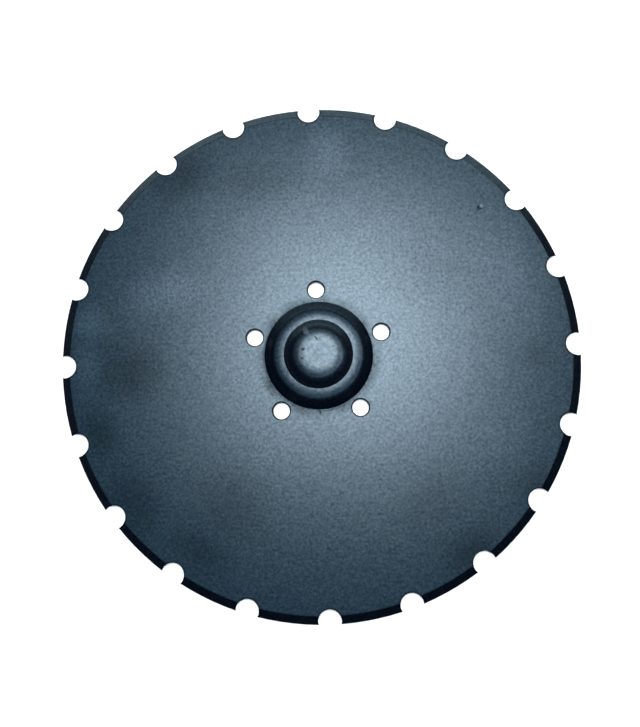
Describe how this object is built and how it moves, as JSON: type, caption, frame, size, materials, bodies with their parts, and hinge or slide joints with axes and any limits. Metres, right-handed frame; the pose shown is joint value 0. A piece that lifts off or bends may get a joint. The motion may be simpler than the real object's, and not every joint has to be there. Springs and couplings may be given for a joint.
{
  "type": "notched seed drill disc",
  "caption": "Flat round steel disc with round notches in its bevelled rim, a stepped dome pressed out of the middle and bolt holes round the dome.",
  "frame": {"origin": "on the disc's axis, in the plane of its flat back face", "axes": "+Z along the disc's axis, out of the dome side; +Y through the middle of one rim notch and of one bolt hole; +X completes the right-handed set"},
  "size_m": [0.4096, 0.4096, 0.0186],
  "materials": {
    "dark_paint": "satin blue-black paint with a fine speckle"
  },
  "bodies": {
    "root": {"seed_disc": "dark_paint"}
  },
  "joints": []
}
